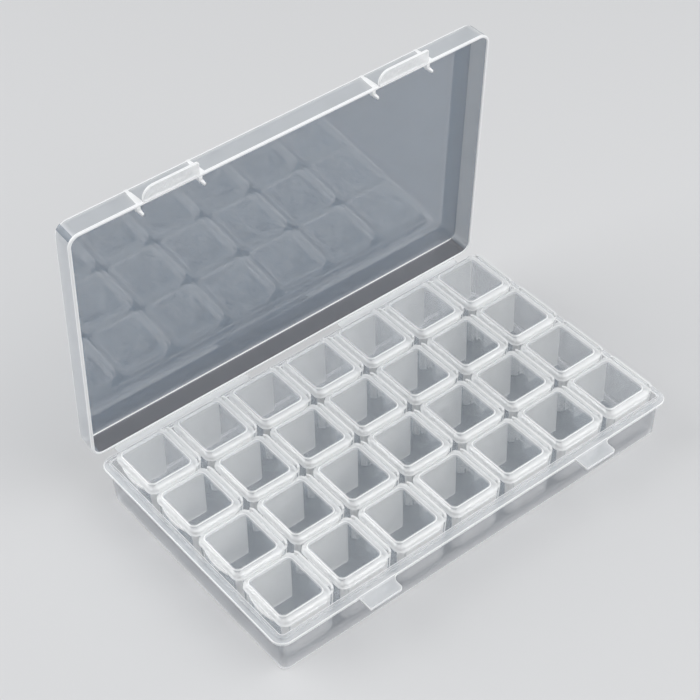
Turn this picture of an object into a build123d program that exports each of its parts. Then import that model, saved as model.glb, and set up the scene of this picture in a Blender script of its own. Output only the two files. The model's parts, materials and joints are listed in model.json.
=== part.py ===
from build123d import *
import math
import os

os.makedirs("parts", exist_ok=True)

# A craft storage box of clear polypropylene: a shallow tray with a lid on two film hinges, and in it
# seven lift-out strips of four small cells, each cell with its own hinged lid. Millimetres, +Z up.
# The origin is the middle of the tray's underside, +X runs along the long side, and the box's hinge
# is at the back, at +Y. The lid stands open, as it does when the box is in use.

# The box as a whole
box_width = 175.0            # along X, over the tray's flange and over the lid
box_depth = 105.0            # along Y, the same
flange_height = 17.3         # top of the tray's flange above the table
box_corner = 4.5             # corner radius in plan
rim_play = 0.1               # between the flange and the rim of the closed lid
lid_opening = 86.0           # degrees from closed to the position modelled here

# The tray
flange_overhang = 2.2        # how far the flange stands out from the wall
flange_thickness = 1.0
ridge_height = 1.1           # the wall's top above the flange, which centres the closed lid
tray_wall = 1.0
tray_floor = 1.1
tray_lean = 0.5              # how far each wall leans in, from its top to the table
tray_bottom_edge = 0.8

# The two tongues on the front of the flange, which a thumb holds down to open the box
tongue_width = 14.0
tongue_reach = 6.0
tongue_corner = 1.6
tongue_root = 2.4

# The lid
lid_depth = 9.3              # from its rim to its outer face
lid_wall = 1.0
lid_plate = 1.0
lid_lean = 0.3
lid_edge = 0.8               # slanted edge round the outer face
ledge_width = 22.0           # half-moon finger ledge above each tongue
ledge_reach = 5.4
ledge_thickness = 1.0
ledge_round = 4.4            # the large curve at its left
ledge_corner = 1.0           # the small one at its right
rib_width = 1.5              # the ribs that end in the latch noses
rib_top_reach = 1.2
rib_ridge_play = 0.3
nose_thickness = 0.9
nose_drop = 1.0              # below the rim of the lid
nose_play = 0.25             # between a nose and the tray's wall

# The film hinges of the lid
strap_length = 58.0
strap_inner_end = 21.0       # from the middle of the box to the near end of each film
strap_thickness = 0.4
strap_span = 2.9             # across the gap between the flange and the open lid
strap_fall = 0.45            # how far the rim's outer edge comes down as the lid opens
strap_drop = 0.4             # from the top of the flange to the film's upper face
film_seam = 0.02             # hairline between a film and what it is moulded to

# Cells: strips side by side along X, cells one behind the other along Y
strip_count = 7
cells_per_strip = 4
cell_top = 22.5              # top of a closed cell lid's border above the table
strip_base_play = 0.1        # between a strip and the tray's floor
lip_gap = 0.2                # from a finger lip to the middle of the gap between strips
hinge_side_gap = 0.5         # from a cell's hinge wall to the middle of the same gap

# One cell
cup_wall = 0.8
cup_floor = 0.9
cup_lean = 0.9               # how far each wall leans in, from rim to base
cup_corner = 2.6
cup_base_edge = 1.6          # slanted edge round the underside
hinge_wall_length = 19.0
web_thickness = 0.8
web_spread = 14.0            # between the two webs that join a pair of cups
web_foot = 4.0               # above the table
web_play = 0.8               # between a web and the skirt above it

# One cell lid
cell_lid_gap = 0.7           # between neighbouring lids of a strip
cell_lid_plate = 1.0
cell_lid_seat = 0.2          # between the plate and the rim of the cup
cell_lid_corner = 2.6
cell_lid_edge = 1.0          # slanted edge round the top face
skirt_wall = 0.8
skirt_play = 0.15
skirt_height = 2.9           # from the border's top to the skirt's lower edge
window_rise = 0.3            # above the border round it
window_side = 1.6            # border on the lip side
window_end = 2.1             # border at the front and at the back
window_hinge = 2.5           # border on the hinge side
window_corner = 1.2
lip_reach = 0.85
lip_length = 13.0
lip_drop = 0.7               # below the skirt's lower edge
lip_thickness = 1.3

# The film hinge of a cell lid
film_span = 0.8
film_thickness = 0.25
film_length = 17.0

# Worked out: the tray
wall_top = flange_height + ridge_height
wall_width = box_width - 2 * flange_overhang
wall_depth = box_depth - 2 * flange_overhang
wall_corner = box_corner - flange_overhang
tray_taper = math.degrees(math.atan(tray_lean / wall_top))
cavity_width = wall_width - 2 * tray_wall
cavity_depth = wall_depth - 2 * tray_wall
front = -box_depth / 2
back = box_depth / 2

# Worked out: where the cells stand
strip_pitch = cavity_width / strip_count
cell_pitch = cavity_depth / cells_per_strip
strip_places = [(i - (strip_count - 1) / 2) * strip_pitch for i in range(strip_count)]
cell_places = [(i - (cells_per_strip - 1) / 2) * cell_pitch for i in range(cells_per_strip)]
strip_base = tray_floor + strip_base_play

# Worked out: one cell, measured from the middle of its place in the tray
lip_tip = -strip_pitch / 2 + lip_gap
lid_left = lip_tip + lip_reach
cup_left = lid_left + skirt_wall + skirt_play
cup_right = strip_pitch / 2 - hinge_side_gap
cup_width = cup_right - cup_left
cup_middle = (cup_left + cup_right) / 2
cell_lid_length = cell_pitch - cell_lid_gap
cup_length = cell_lid_length - 2 * (skirt_wall + skirt_play)
cup_rim = cell_top - cell_lid_plate - cell_lid_seat
cup_taper = math.degrees(math.atan(cup_lean / (cup_rim - strip_base)))
hinge_wall_face = cup_right - cup_wall
lid_right = hinge_wall_face - film_span
cell_lid_width = lid_right - lid_left
cell_lid_middle = (lid_left + lid_right) / 2
window_width = cell_lid_width - window_side - window_hinge
window_length = cell_lid_length - 2 * window_end
window_middle = cell_lid_middle + (window_side - window_hinge) / 2
skirt_foot = cell_top - skirt_height
web_top = skirt_foot - web_play
cell_hinge = lid_right + film_span / 2

# Worked out: the flats that stand for a corner of radius 1 in the small pieces, of which there are
# many. The middle flat is cut first and the two beside it next.
middle_flat = 2 - math.sqrt(2)
side_flat = math.tan(math.radians(22.5)) - math.tan(math.radians(11.25))

# Worked out: the lid's hinge line, about which the rim's outer edge swings from just over the
# flange's edge to strap_span behind it and strap_fall below it
swing = math.radians(lid_opening)
rim_closed = flange_height + rim_play
half_turn = 2 * math.tan(swing / 2)
hinge_y = back + strap_span / 2 - strap_fall / half_turn
hinge_z = rim_closed - strap_fall / 2 - strap_span / half_turn
lid_plane = Plane(
    origin=(0, hinge_y, hinge_z),
    x_dir=(1, 0, 0),
    z_dir=(0, math.sin(swing), math.cos(swing)),
)
lid_taper = math.degrees(math.atan(lid_lean / lid_depth))
latch_places = [-2 * strip_pitch, 2 * strip_pitch]
rib_places = [place + side * strip_pitch / 2 for place in latch_places for side in (-1, 1)]
strap_places = [side * (strap_inner_end + strap_length / 2) for side in (-1, 1)]


def closed_level(z):
    """The lid plane that lies at height z when the lid is closed."""
    return lid_plane.offset(z - hinge_z)


def closed_y(y):
    """A closed lid's Y, measured in the lid plane."""
    return y - hinge_y


def save(part, name):
    """Name a finished piece and write it."""
    part.label = name
    export_step(part, f"parts/{name}.step")


# The tray's hollow, drawn at its mouth and narrowing downwards
with BuildPart() as cavity:
    with BuildSketch(Plane.XY.offset(wall_top)):
        Rectangle(cavity_width, cavity_depth)
    extrude(amount=tray_floor - wall_top)
    draft(cavity.faces().filter_by(Axis.Z, reverse=True), Plane.XY.offset(wall_top), -tray_taper)
    fillet(cavity.edges().group_by(Axis.Z)[1], wall_corner - tray_wall)

# Tray: one moulding with its flange, the ridge inside the flange and the two tongues. Each tongue
# has a square left corner, a rounded right one and a curved root on the right.
with BuildPart() as tray:
    with BuildSketch(Plane.XY.offset(wall_top)):
        Rectangle(wall_width, wall_depth)
    extrude(amount=-wall_top)
    draft(tray.faces().filter_by(Axis.Z, reverse=True), Plane.XY.offset(wall_top), -tray_taper)
    fillet(tray.edges().group_by(Axis.Z)[1], wall_corner)
    chamfer(tray.faces().sort_by(Axis.Z)[0].edges(), tray_bottom_edge)
    with BuildSketch(Plane.XY.offset(flange_height - flange_thickness)):
        RectangleRounded(box_width, box_depth, box_corner)
        for place in latch_places:
            left = place - tongue_width / 2
            right = place + tongue_width / 2
            tip = front - tongue_reach
            inside = front + tongue_root
            with BuildLine():
                Polyline((right + tongue_root, front), (right + tongue_root, inside))
                Polyline((right + tongue_root, inside), (left, inside), (left, tip))
                Line((left, tip), (right - tongue_corner, tip))
                RadiusArc((right - tongue_corner, tip), (right, tip + tongue_corner), -tongue_corner)
                Line((right, tip + tongue_corner), (right, front - tongue_root))
                RadiusArc((right, front - tongue_root), (right + tongue_root, front), tongue_root)
            make_face()
    extrude(amount=flange_thickness)
    add(cavity.part, mode=Mode.SUBTRACT)
save(tray.part, "tray")

# The lid's hollow
lid_axis = Axis(lid_plane.origin, lid_plane.z_dir)
with BuildPart() as lid_hollow:
    with BuildSketch(closed_level(rim_closed)):
        with Locations((0, closed_y(0))):
            Rectangle(box_width - 2 * lid_wall, box_depth - 2 * lid_wall)
    extrude(amount=lid_depth - lid_plate)
    draft(lid_hollow.faces().filter_by(lid_axis, reverse=True), closed_level(rim_closed), lid_taper)
    fillet(lid_hollow.edges().group_by(lid_axis)[1], box_corner - lid_wall)

# Lid: drawn on the lid plane, so that its numbers are those of the closed box. It has a finger
# ledge over each tongue and, at each side of a ledge, a rib inside the wall. A rib bridges the
# tray's ridge and ends in a nose that snaps down inside it, in the gap between two strips.
with BuildPart() as lid:
    with BuildSketch(closed_level(rim_closed)):
        with Locations((0, closed_y(0))):
            Rectangle(box_width, box_depth)
    extrude(amount=lid_depth)
    draft(lid.faces().filter_by(lid_axis, reverse=True), closed_level(rim_closed), lid_taper)
    fillet(lid.edges().group_by(lid_axis)[1], box_corner)
    chamfer(lid.faces().sort_by(lid_axis)[-1].edges(), lid_edge)
    with BuildSketch(closed_level(rim_closed)):
        for place in latch_places:
            left = place - ledge_width / 2
            right = place + ledge_width / 2
            root = closed_y(front + lid_wall / 2)
            tip = closed_y(front - ledge_reach)
            with BuildLine():
                Polyline((right, tip + ledge_corner), (right, root), (left, root))
                Line((left, root), (left, tip + ledge_round))
                RadiusArc((left, tip + ledge_round), (left + ledge_round, tip), -ledge_round)
                Line((left + ledge_round, tip), (right - ledge_corner, tip))
                RadiusArc((right - ledge_corner, tip), (right, tip + ledge_corner), -ledge_corner)
            make_face()
    extrude(amount=ledge_thickness)
    add(lid_hollow.part, mode=Mode.SUBTRACT)
    rib_foot = wall_top + rib_ridge_play
    rib_root = front + lid_wall / 2
    rib_head = rim_closed + lid_depth - lid_plate / 2
    nose_face = -cavity_depth / 2 + nose_play
    nose_back = nose_face + nose_thickness
    nose_tip = rim_closed - nose_drop
    for place in rib_places:
        rib_plane = Plane(
            origin=lid_plane.from_local_coords(Vector(place, 0, 0)),
            x_dir=lid_plane.y_dir,
            z_dir=lid_plane.x_dir,
        )
        profile = [
            (rib_root, rib_foot),
            (nose_face, rib_foot),
            (nose_face, nose_tip),
            (nose_back, nose_tip),
            (nose_back, rib_foot + lid_plate),
            (front + lid_wall + rib_top_reach, rib_head),
            (rib_root, rib_head),
        ]
        with BuildSketch(rib_plane):
            with BuildLine():
                Polyline([(closed_y(y), z - hinge_z) for y, z in profile], close=True)
            make_face()
        extrude(amount=rib_width / 2, both=True)
save(lid.part, "lid")

# The lid's two film hinges, nearly flat between the flange's back edge and the open lid's rim
strap_top = flange_height - strap_drop
rim_edge = lid_plane.from_local_coords(Vector(0, closed_y(back), rim_closed - hinge_z))
rim_inner = lid_plane.from_local_coords(
    Vector(0, closed_y(back - strap_thickness), rim_closed - hinge_z)
)
for side, place in zip(("left", "right"), strap_places):
    with BuildPart() as strap:
        with BuildSketch(Plane(origin=(place, 0, 0), x_dir=(0, 1, 0), z_dir=(1, 0, 0))):
            with BuildLine():
                Polyline(
                    (back + film_seam, strap_top - strap_thickness),
                    (rim_edge.Y - film_seam, rim_edge.Z),
                    (rim_inner.Y - film_seam, rim_inner.Z),
                    (back + film_seam, strap_top),
                    close=True,
                )
            make_face()
        extrude(amount=strap_length / 2, both=True)
    save(strap.part, f"{side}_hinge_film")


def cell_outline(sketch, middle, width, length, corner, all_flats=True):
    """Draw an outline of a cup or cell lid in a sketch, each corner rounded in three flats or one."""
    with Locations((middle, 0)):
        Rectangle(width, length)
    chamfer(sketch.vertices(), corner * middle_flat)
    if all_flats:
        chamfer(sketch.vertices(), corner * side_flat)


# The hollow of a cup
with BuildPart() as cup_hollow:
    with BuildSketch(Plane.XY.offset(cup_rim)) as outline:
        cell_outline(
            outline,
            cup_middle,
            cup_width - 2 * cup_wall,
            cup_length - 2 * cup_wall,
            cup_corner - cup_wall,
            all_flats=False,
        )
    extrude(amount=strip_base + cup_floor - cup_rim)
    draft(cup_hollow.faces().filter_by(Axis.Z, reverse=True), Plane.XY.offset(cup_rim), -cup_taper)

# One cup, drawn at the middle of its place. Its walls lean out to the rim, and the hinge wall
# stands up at its right to the level of the closed cell lid.
with BuildPart() as cup:
    with BuildSketch(Plane.XY.offset(cup_rim)) as outline:
        cell_outline(outline, cup_middle, cup_width, cup_length, cup_corner)
    extrude(amount=strip_base - cup_rim)
    draft(cup.faces().filter_by(Axis.Z, reverse=True), Plane.XY.offset(cup_rim), -cup_taper)
    chamfer(cup.faces().sort_by(Axis.Z)[0].edges(), cup_base_edge)
    add(cup_hollow.part, mode=Mode.SUBTRACT)
    with BuildSketch(Plane.XY.offset(cup_rim)):
        with Locations(((hinge_wall_face + cup_right) / 2, 0)):
            Rectangle(cup_wall, hinge_wall_length)
    extrude(amount=cell_top - cup_rim)


def mid_wall(z):
    """How far the middle of a cup's front or back wall is from the cup's own middle, at height z."""
    lean = cup_lean * (cup_rim - z) / (cup_rim - strip_base)
    return cup_length / 2 - lean - cup_wall / 2


# A strip: four cups in a row, each pair joined by two upright webs
with BuildPart() as strip_form:
    with Locations([(0, y) for y in cell_places]):
        add(cup.part)
    for x in (cup_middle - web_spread / 2, cup_middle + web_spread / 2):
        with BuildSketch(Plane(origin=(x, 0, 0), x_dir=(0, 1, 0), z_dir=(1, 0, 0))):
            for before, after in zip(cell_places, cell_places[1:]):
                with BuildLine():
                    Polyline(
                        (before + mid_wall(web_foot), web_foot),
                        (after - mid_wall(web_foot), web_foot),
                        (after - mid_wall(web_top), web_top),
                        (before + mid_wall(web_top), web_top),
                        close=True,
                    )
                make_face()
        extrude(amount=web_thickness / 2, both=True)

# The films that hinge a strip's four lids, each between a lid and its hinge wall
with BuildPart() as films_form:
    with BuildSketch(Plane.XY.offset(cell_top - film_thickness)):
        with Locations([(cell_hinge, y) for y in cell_places]):
            Rectangle(film_span - 2 * film_seam, film_length)
    extrude(amount=film_thickness)

# A cell lid: a plate with a slanted edge, a skirt on three sides, a raised window, a finger lip at
# its left and a straight root for the film at its right
with BuildPart() as cell_lid_form:
    with BuildSketch(Plane.XY.offset(skirt_foot)) as outline:
        cell_outline(outline, cell_lid_middle, cell_lid_width, cell_lid_length, cell_lid_corner)
    extrude(amount=skirt_height)
    chamfer(cell_lid_form.faces().sort_by(Axis.Z)[-1].edges(), cell_lid_edge)
    with BuildSketch(Plane.XY.offset(cell_top)):
        with Locations((lid_right - cell_lid_edge, 0)):
            Rectangle(2 * cell_lid_edge, film_length)
    extrude(amount=-cell_lid_plate)
    with BuildSketch(Plane.XY.offset(skirt_foot)):
        with Locations((cell_lid_middle, 0)):
            Rectangle(cell_lid_width - 2 * skirt_wall, cell_lid_length - 2 * skirt_wall)
        with Locations((lid_right, 0)):
            Rectangle(2 * cell_lid_corner, cell_lid_length)
    extrude(amount=skirt_height - cell_lid_plate, mode=Mode.SUBTRACT)
    with BuildSketch(Plane.XY.offset(cell_top)) as outline:
        cell_outline(outline, window_middle, window_width, window_length, window_corner)
    extrude(amount=window_rise)
    with BuildSketch(Plane.XY.offset(skirt_foot - lip_drop)):
        with BuildLine():
            ThreePointArc((lid_left, -lip_length / 2), (lip_tip, 0), (lid_left, lip_length / 2))
            Polyline(
                (lid_left, lip_length / 2),
                (lid_left + skirt_wall, lip_length / 2),
                (lid_left + skirt_wall, -lip_length / 2),
                (lid_left, -lip_length / 2),
            )
        make_face()
    extrude(amount=lip_thickness)

# Each strip in its place with its films and its lids. Rows count from the front.
for strip_number, x in enumerate(strip_places, start=1):
    with BuildPart() as strip:
        with Locations((x, 0)):
            add(strip_form.part)
    save(strip.part, f"strip_{strip_number}")
    with BuildPart() as films:
        with Locations((x, 0)):
            add(films_form.part)
    save(films.part, f"strip_{strip_number}_hinge_films")
    for row_number, y in enumerate(cell_places, start=1):
        with BuildPart() as cell_lid:
            with Locations((x, y)):
                add(cell_lid_form.part)
        save(cell_lid.part, f"cell_lid_{strip_number}_{row_number}")
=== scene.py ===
"""Looks of a craft storage box: milky clear plastic, with lift-out strips of small lidded cells.

Sizes are in millimetres, as in the part's source, and become metres when a mesh is written. The
origin is the middle of the tray's underside, +X runs along the long side and the hinge is at +Y.
"""
import json
import logging
import math
from collections.abc import Callable, Iterable, Sequence
from dataclasses import dataclass, field
from enum import Enum

import bmesh
import bpy
from mathutils import Matrix, Vector


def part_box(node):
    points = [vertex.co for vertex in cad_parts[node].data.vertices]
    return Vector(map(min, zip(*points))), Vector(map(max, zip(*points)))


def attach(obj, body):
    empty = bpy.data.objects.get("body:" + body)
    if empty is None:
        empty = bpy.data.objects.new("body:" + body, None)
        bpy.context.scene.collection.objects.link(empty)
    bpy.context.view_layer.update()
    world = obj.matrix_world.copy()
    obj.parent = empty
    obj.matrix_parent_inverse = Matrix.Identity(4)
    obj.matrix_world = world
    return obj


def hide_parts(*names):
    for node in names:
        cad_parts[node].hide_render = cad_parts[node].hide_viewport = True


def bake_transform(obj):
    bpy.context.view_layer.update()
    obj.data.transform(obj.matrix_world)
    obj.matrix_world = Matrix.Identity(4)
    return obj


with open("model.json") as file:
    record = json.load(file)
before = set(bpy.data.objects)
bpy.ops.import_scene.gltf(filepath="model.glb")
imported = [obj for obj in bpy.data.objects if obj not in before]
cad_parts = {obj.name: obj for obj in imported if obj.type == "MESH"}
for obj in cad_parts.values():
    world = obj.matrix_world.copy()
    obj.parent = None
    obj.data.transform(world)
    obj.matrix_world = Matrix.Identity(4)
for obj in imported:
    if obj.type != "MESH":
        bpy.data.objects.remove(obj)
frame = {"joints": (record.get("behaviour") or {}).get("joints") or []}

MM = 0.001
CORNER_STEPS = 6      # straight runs round each quarter of an outline's corner
SMALL_STEPS = 3       # the same round a nearly sharp corner
TURN_STEPS = 4        # bands across each rounded edge of a section
LEAST_CORNER = 0.12   # radius of an outline's corner where an inset leaves none
LEAST_BEND = 0.3      # keeps the inset of a sharp corner in bounds
LEAST_ROOM = 0.51     # share of a band that a turn's rounding may always use
MOST_CUT = 0.96       # share of that room that a rounding may take
TINY = 1e-6           # keeps a length of nothing out of a division
APART = 0.02          # keeps two faces out of one plane, in millimetres
FLATS_WEIGHT = 100    # how strongly flats keep their normals, in percent

MOST_GLOSS = 0.36               # the most that a refractive index may mirror seen straight on
ROUGHNESS_SPREAD = (0.8, 1.25)  # how the clouds vary the roughness, as shares of it
SLANT_BLEND = 0.35              # how soon a slanting look meets the rim's opacity
CLOUD_DETAIL = 3.0
GRAIN_DETAIL = 2.0
MIX_SHARE, MIX_FIRST, MIX_SECOND, MIX_RESULT = 0, 6, 7, 2  # sockets of a Mix node for colours

log = logging.getLogger("storage_box")

Point = tuple[float, float]
Place = Callable[[Vector], Vector]


def noise(tree: bpy.types.NodeTree, size: float, detail: float) -> bpy.types.NodeSocket:
    """Add a noise that stays with the object.

    Args:
        tree: The material's nodes.
        size: Size of its patches, in millimetres.
        detail: How many finer noises it holds.

    Returns:
        The socket that gives it, from 0 to 1.
    """
    where = tree.nodes.new("ShaderNodeTexCoord")
    patches = tree.nodes.new("ShaderNodeTexNoise")
    patches.inputs["Scale"].default_value = 1.0 / (size * MM)
    patches.inputs["Detail"].default_value = detail
    tree.links.new(where.outputs["Object"], patches.inputs["Vector"])
    return patches.outputs["Fac"]


def spread(
    tree: bpy.types.NodeTree, share: bpy.types.NodeSocket, low: float, high: float
) -> bpy.types.NodeSocket:
    """Add a value between two others.

    Args:
        tree: The material's nodes.
        share: The socket that says how far it is from the first to the second.
        low: The first.
        high: The second.

    Returns:
        The socket that gives it.
    """
    mapped = tree.nodes.new("ShaderNodeMapRange")
    mapped.inputs["To Min"].default_value = low
    mapped.inputs["To Max"].default_value = high
    tree.links.new(share, mapped.inputs["Value"])
    return mapped.outputs["Result"]


@dataclass(frozen=True)
class Finish:
    """A finish of the moulded plastic.

    Attributes:
        title: The material's name.
        colour: Linear red, green and blue of the milky plastic.
        face_opacity: How much it hides where it is seen straight on, from 0 to 1.
        rim_opacity: How much it hides where it is seen along its surface.
        roughness: Of its gloss.
        cloud: How much the milkiness varies from place to place, as a share of the colour.
        cloud_size: Size of those clouds, in millimetres.
        grain: Height of the moulded surface's fine unevenness, in millimetres.
        grain_size: Size of that unevenness, in millimetres.
        coat: Share of a second gloss, as of a flat sheet that mirrors with both its faces.
        gloss: Share of the light that it mirrors, seen straight on.
        glow: How far light spreads inside it, in millimetres, or 0 where it stays at the surface.
        shade: Share of the light that it stops, of what it hides. Milky plastic passes on the rest.
    """

    title: str
    colour: tuple[float, float, float]
    face_opacity: float
    rim_opacity: float
    roughness: float
    cloud: float = 0.05
    cloud_size: float = 14.0
    grain: float = 0.01
    grain_size: float = 3.0
    coat: float = 0.0
    gloss: float = 0.06
    glow: float = 1.5
    shade: float = 0.35

    def gloss_index(self) -> float:
        """The refractive index that keeps clear plastic's gloss, however see-through it is."""
        mirrored = math.sqrt(min(self.gloss / self.face_opacity, MOST_GLOSS))
        return (1.0 + mirrored) / (1.0 - mirrored)

    def material(self) -> bpy.types.Material:
        """Make the node material, once.

        Returns:
            The material of this finish.
        """
        made = bpy.data.materials.get(self.title)
        if made:
            return made
        made = bpy.data.materials.new(self.title)
        made.use_nodes = True
        tree = made.node_tree
        shader = tree.nodes["Principled BSDF"]
        shader.inputs["IOR"].default_value = self.gloss_index()
        shader.inputs["Coat Weight"].default_value = self.coat
        if self.glow > 0.0:
            shader.inputs["Subsurface Weight"].default_value = 1.0
            shader.inputs["Subsurface Radius"].default_value = (1.0, 1.0, 1.0)
            shader.inputs["Subsurface Scale"].default_value = self.glow * MM
        self.cloud_over(tree, shader)
        if self.face_opacity < 1.0:
            self.let_through(tree, shader)
        self.roughen(tree, shader)
        return made

    def cloud_over(self, tree: bpy.types.NodeTree, shader: bpy.types.Node) -> None:
        """Vary the colour and the gloss with soft clouds.

        Args:
            tree: The material's nodes.
            shader: The node that shades it.
        """
        clouds = noise(tree, self.cloud_size, CLOUD_DETAIL)
        dark = [c * (1.0 - self.cloud) for c in self.colour]
        pale = [min(c * (1.0 + self.cloud), 1.0) for c in self.colour]
        tint = tree.nodes.new("ShaderNodeMix")
        tint.data_type = "RGBA"
        tint.inputs[MIX_FIRST].default_value = (*dark, 1.0)
        tint.inputs[MIX_SECOND].default_value = (*pale, 1.0)
        tree.links.new(clouds, tint.inputs[MIX_SHARE])
        tree.links.new(tint.outputs[MIX_RESULT], shader.inputs["Base Color"])
        low, high = (self.roughness * share for share in ROUGHNESS_SPREAD)
        tree.links.new(spread(tree, clouds, low, high), shader.inputs["Roughness"])

    def let_through(self, tree: bpy.types.NodeTree, shader: bpy.types.Node) -> None:
        """Let what lies behind show through, less so at a slant, and pass on part of the light.

        Args:
            tree: The material's nodes.
            shader: The node that shades it.
        """
        slant = tree.nodes.new("ShaderNodeLayerWeight")
        slant.inputs["Blend"].default_value = SLANT_BLEND
        light = tree.nodes.new("ShaderNodeLightPath")
        hidden = tree.nodes.new("ShaderNodeMath")
        hidden.operation = "MULTIPLY"
        hide = spread(tree, slant.outputs["Facing"], self.face_opacity, self.rim_opacity)
        stop = spread(tree, light.outputs["Is Shadow Ray"], 1.0, self.shade)
        tree.links.new(hide, hidden.inputs[0])
        tree.links.new(stop, hidden.inputs[1])
        tree.links.new(hidden.outputs["Value"], shader.inputs["Alpha"])

    def roughen(self, tree: bpy.types.NodeTree, shader: bpy.types.Node) -> None:
        """Give the surface its fine unevenness.

        Args:
            tree: The material's nodes.
            shader: The node that shades it.
        """
        bump = tree.nodes.new("ShaderNodeBump")
        bump.inputs["Distance"].default_value = self.grain * MM
        tree.links.new(noise(tree, self.grain_size, GRAIN_DETAIL), bump.inputs["Height"])
        tree.links.new(bump.outputs["Normal"], shader.inputs["Normal"])


class Plastic(Enum):
    """The finishes that one clear moulding shows in its thin, thick and rounded places, with
    painted light: the edge finishes are partly painted highlight, the dark finishes of the lid's
    hinge wall and of the tray's floor are painted shade, and the cups' front and back walls are
    partly painted light.
    """

    PANEL = Finish(
        "panel_plastic", (0.122, 0.182, 0.262), 0.6, 0.86, 0.01,
        grain=0.002, grain_size=10.0, coat=1.0, gloss=0.13,
    )
    PANEL_BACK = Finish("panel_back_plastic", (0.23, 0.28, 0.335), 0.45, 0.72, 0.22, gloss=0.035)
    PANEL_WALL = Finish("panel_wall_plastic", (0.80, 0.81, 0.82), 0.45, 0.7, 0.3)
    # Painted highlight: a near-white, nearly opaque finish for the lid's rounded edges, the band
    # round its rim and its ribs, partly the milkier look of thick rounded plastic
    PANEL_EDGE_HIGHLIGHT = Finish("panel_edge_painted_highlight", (0.98, 0.99, 1.0), 0.95, 1.0, 0.15, glow=0.0)
    # Painted shade: a dark finish for the inside of the lid's hinge-side wall
    HINGE_SHADE = Finish("hinge_wall_painted_shade", (0.095, 0.10, 0.12), 0.8, 0.92, 0.15, gloss=0.03)
    LEDGE = Finish(
        "frosted_ledge_plastic", (0.88, 0.90, 0.91), 0.48, 0.85, 0.35,
        cloud=0.25, cloud_size=1.6, grain=0.15, grain_size=0.7,
    )
    TRAY = Finish("tray_plastic", (0.43, 0.45, 0.48), 0.22, 0.42, 0.12)
    # Painted shade: a dark finish for the middle of the tray's floor, above and below
    TRAY_FLOOR_SHADE = Finish("tray_floor_painted_shade", (0.29, 0.31, 0.335), 0.7, 0.85, 0.25)
    # Painted highlight: a near-white finish for the tray's rounded edges, partly the milkier look
    # of thick rounded plastic
    TRAY_EDGE_HIGHLIGHT = Finish("tray_edge_painted_highlight", (0.96, 0.97, 0.98), 0.85, 0.98, 0.15, glow=0.0)
    FLANGE = Finish("flange_plastic", (0.84, 0.86, 0.88), 0.3, 0.65, 0.12)
    CUP = Finish("cup_plastic", (0.72, 0.77, 0.82), 0.09, 0.28, 0.12)
    # Partly painted light: the cups' front and back walls are frosted, and whiter and less clear
    # than the sides to stand for the light that falls on them
    CUP_FRONT_LIT = Finish("frosted_cup_painted_light", (0.95, 0.96, 0.96), 0.66, 0.76, 0.3, glow=0.4)
    CUP_BACK_LIT = Finish("milky_cup_painted_light", (0.95, 0.95, 0.94), 0.52, 0.7, 0.2, glow=0.4)
    # Painted highlight: a near-white finish for the cups' rims, hinge walls, web edges and the
    # front corner by the hinge, partly the milkier look of thick rounded plastic
    CUP_EDGE_HIGHLIGHT = Finish("cup_edge_painted_highlight", (0.97, 0.98, 0.98), 0.65, 0.92, 0.12, glow=0.0)
    BORDER = Finish(
        "lid_border_plastic", (0.92, 0.94, 0.95), 0.34, 0.64, 0.16, glow=0.5, gloss=0.045
    )
    # Painted highlight: a near-white finish for the cell lids' skirt foot, lip edges and the bevel
    # all round the raised window
    BORDER_EDGE_HIGHLIGHT = Finish("lid_edge_painted_highlight", (0.97, 0.98, 0.98), 0.75, 0.95, 0.12, glow=0.0)
    WINDOW = Finish(
        "window_plastic", (0.42, 0.46, 0.50), 0.11, 0.24, 0.07, grain=0.003, grain_size=5.0
    )
    FILM = Finish("film_plastic", (0.86, 0.88, 0.89), 0.55, 0.8, 0.25)


def arc(centre: Point, radius: float, start: float, end: float, steps: int) -> list[Point]:
    """Points along a circular arc between two angles in degrees, both ends included."""
    angles = [math.radians(start + (end - start) * i / steps) for i in range(steps + 1)]
    return [(centre[0] + radius * math.cos(a), centre[1] + radius * math.sin(a)) for a in angles]


@dataclass(frozen=True)
class Outline:
    """A rounded rectangle, in millimetres."""

    half_x: float
    half_y: float
    corner: float  # radius
    shift: float = 0.0  # of its middle, along X

    def inset(self, by: float) -> "Outline":
        """The outline inside it at the same distance all round."""
        return self.shrink(by, self.corner - by)

    def shrink(self, by: float, corner: float | None = None) -> "Outline":
        """The outline with its sides further in, and its own corners or those given."""
        radius = self.corner if corner is None else corner
        return Outline(self.half_x - by, self.half_y - by, radius, self.shift)

    def points(self) -> list[Point]:
        """Trace the outline.

        Returns:
            Its points, anticlockwise from the lower end of the right side.
        """
        radius = max(self.corner, LEAST_CORNER)
        x, y = self.half_x - radius, self.half_y - radius
        points: list[Point] = []
        for turn, (cx, cy) in enumerate(((x, y), (-x, y), (-x, -y), (x, -y))):
            start = 90.0 * turn
            points += arc((self.shift + cx, cy), radius, start, start + 90.0, CORNER_STEPS)
        return points


@dataclass(frozen=True)
class Level:
    """One turn of a moulding's section: an outline at a height, in millimetres."""

    outline: Outline
    height: float
    finish: Plastic  # of the band that leads to the turn
    rounding: float = 0.0  # how far from the turn its rounding starts, 0 for a crisp turn
    edge: Plastic | None = None  # finish of the rounding, or None for the band's own

    def values(self) -> Vector:
        """The numbers that are mixed between levels."""
        line = self.outline
        return Vector((line.half_x, line.half_y, line.corner, line.shift, self.height))

    def cut_share(self, there: "Level") -> float:
        """Find how far the rounding reaches.

        Args:
            there: The turn before it or after it.

        Returns:
            The share of the way to that turn that the rounding takes.
        """
        here, other = self.outline, there.outline
        width = max(abs(here.half_x - other.half_x), abs(here.half_y - other.half_y))
        run = math.hypot(width, self.height - there.height)
        room = max(run - there.rounding, LEAST_ROOM * run)
        return min(self.rounding, MOST_CUT * room) / max(run, TINY)


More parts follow.
